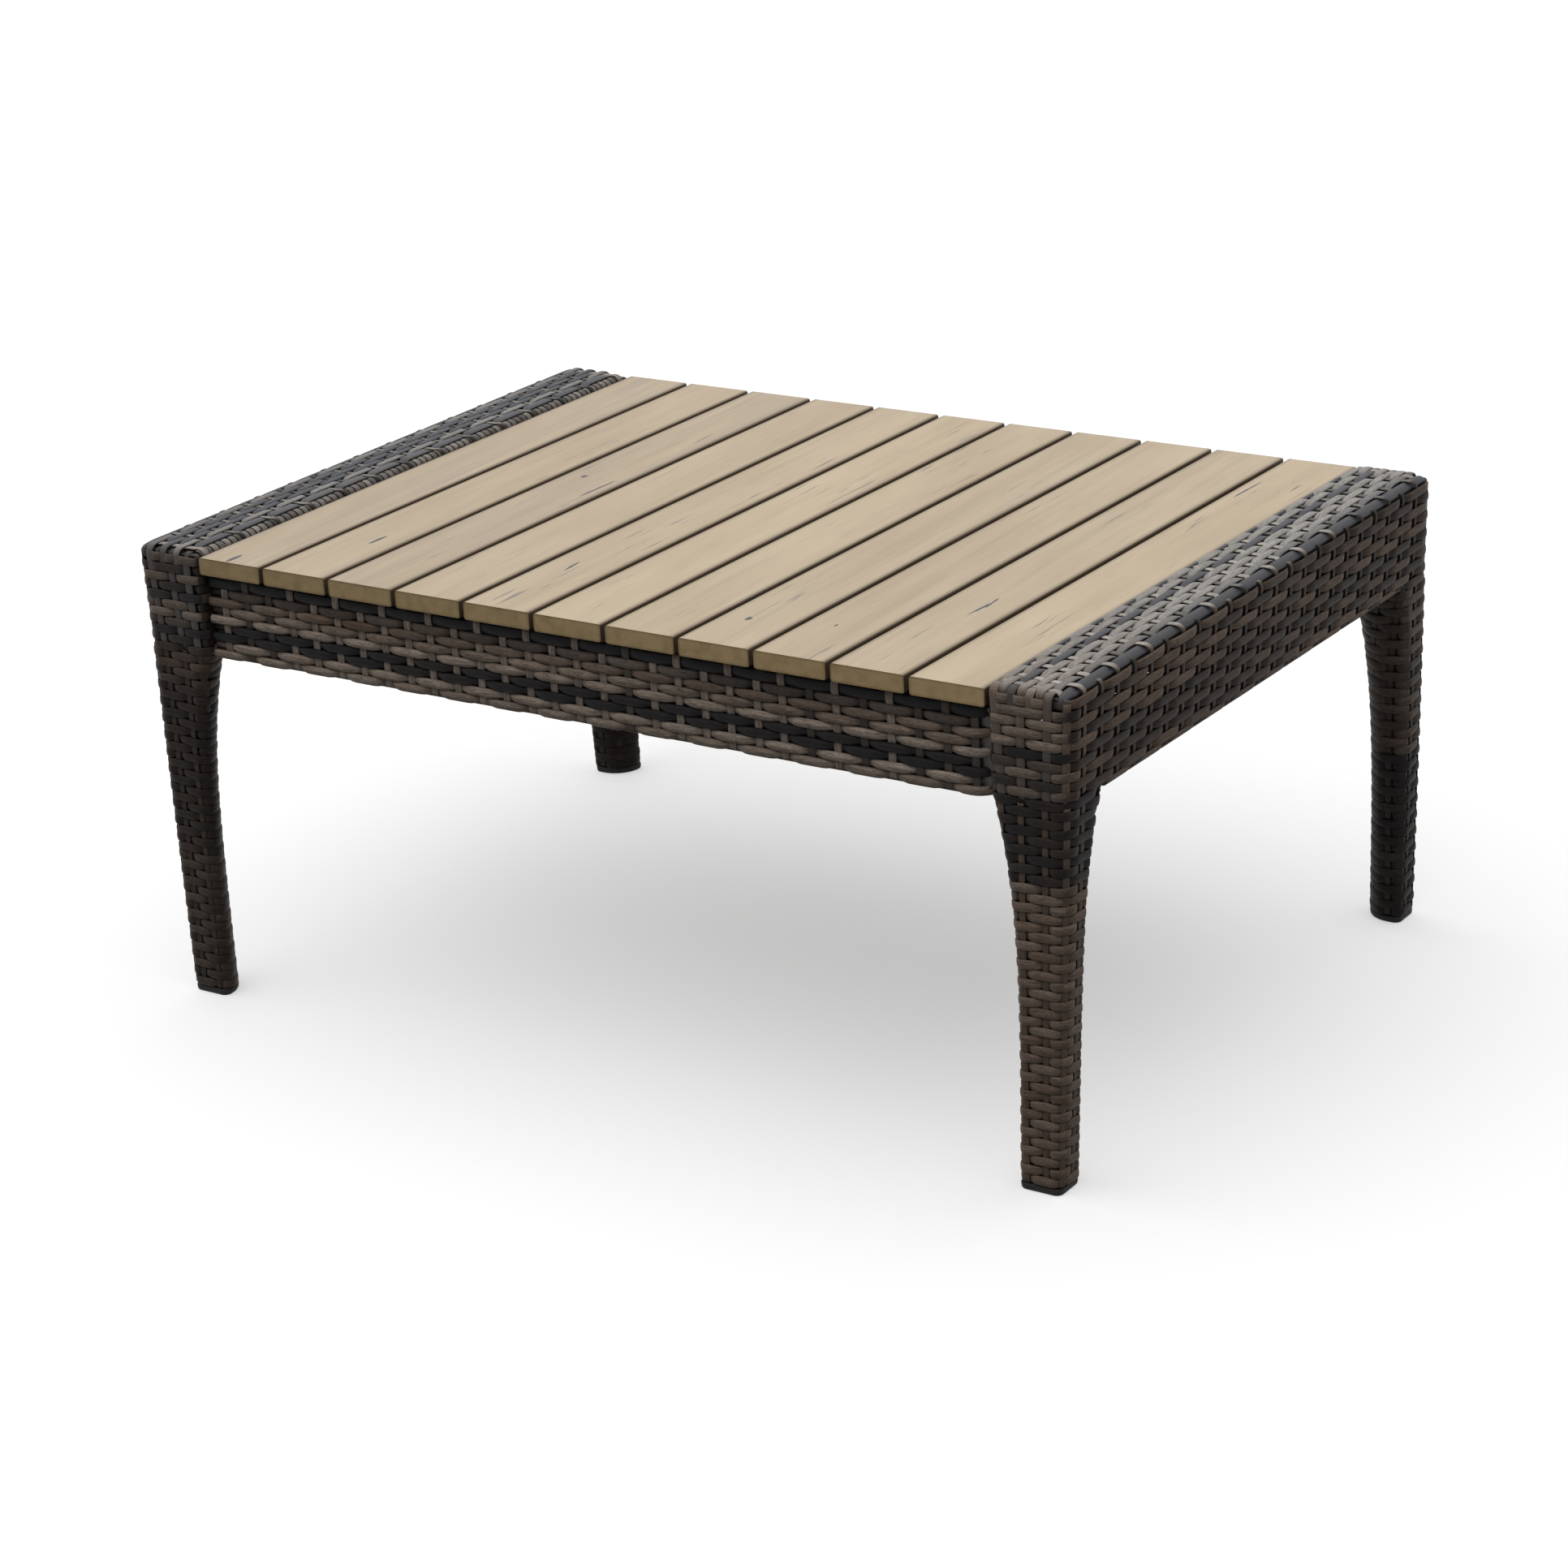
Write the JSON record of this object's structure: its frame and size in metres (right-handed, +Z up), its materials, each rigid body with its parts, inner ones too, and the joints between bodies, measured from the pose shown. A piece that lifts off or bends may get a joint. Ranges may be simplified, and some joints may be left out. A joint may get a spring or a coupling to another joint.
{
  "type": "wicker coffee table",
  "caption": "Low garden table with a wood-look slatted top, woven resin cane side rails and aprons, and four flared woven legs on foot caps.",
  "frame": {"origin": "on the floor under the middle of the table", "axes": "+X along the front from left to right, +Y to the back, +Z up"},
  "size_m": [0.9094, 0.6338, 0.408],
  "materials": {
    "slat": "brushed wood-look composite",
    "weave": "half-round resin cane in mixed taupe and charcoal",
    "frame_tube": "dark brown powder coat",
    "bracket": "dark brown powder coat",
    "foot_cap": "moulded black",
    "fastener": "stainless"
  },
  "bodies": {
    "root": {"slat_01": "slat", "slat_02": "slat", "slat_03": "slat", "slat_04": "slat", "slat_05": "slat", "slat_06": "slat", "slat_07": "slat", "slat_08": "slat", "slat_09": "slat", "slat_10": "slat", "slat_11": "slat", "slat_carrier_front": "frame_tube", "slat_carrier_middle": "frame_tube", "slat_carrier_rear": "frame_tube", "slat_screws": "fastener", "carrier_brackets": "bracket", "corner_brackets": "bracket", "bracket_bolts": "fastener", "rivet_nuts": "fastener", "left_outer_top_rail": "frame_tube", "left_inner_top_rail": "frame_tube", "left_outer_lower_rail": "frame_tube", "left_inner_lower_rail": "frame_tube", "left_front_post": "frame_tube", "left_rear_post": "frame_tube", "left_cross_tubes": "frame_tube", "left_rail_weave": "weave", "right_outer_top_rail": "frame_tube", "right_inner_top_rail": "frame_tube", "right_outer_lower_rail": "frame_tube", "right_inner_lower_rail": "frame_tube", "right_front_post": "frame_tube", "right_rear_post": "frame_tube", "right_cross_tubes": "frame_tube", "right_rail_weave": "weave", "front_left_leg_tube": "frame_tube", "front_left_leg_gussets": "frame_tube", "front_left_leg_weave": "weave", "front_left_foot_cap": "foot_cap", "front_right_leg_tube": "frame_tube", "front_right_leg_gussets": "frame_tube", "front_right_leg_weave": "weave", "front_right_foot_cap": "foot_cap", "rear_left_leg_tube": "frame_tube", "rear_left_leg_gussets": "frame_tube", "rear_left_leg_weave": "weave", "rear_left_foot_cap": "foot_cap", "rear_right_leg_tube": "frame_tube", "rear_right_leg_gussets": "frame_tube", "rear_right_leg_weave": "weave", "rear_right_foot_cap": "foot_cap", "front_apron_top_tube": "frame_tube", "front_apron_bottom_tube": "frame_tube", "front_apron_posts": "frame_tube", "front_apron_weave": "weave", "rear_apron_top_tube": "frame_tube", "rear_apron_bottom_tube": "frame_tube", "rear_apron_posts": "frame_tube", "rear_apron_weave": "weave"}
  },
  "joints": []
}
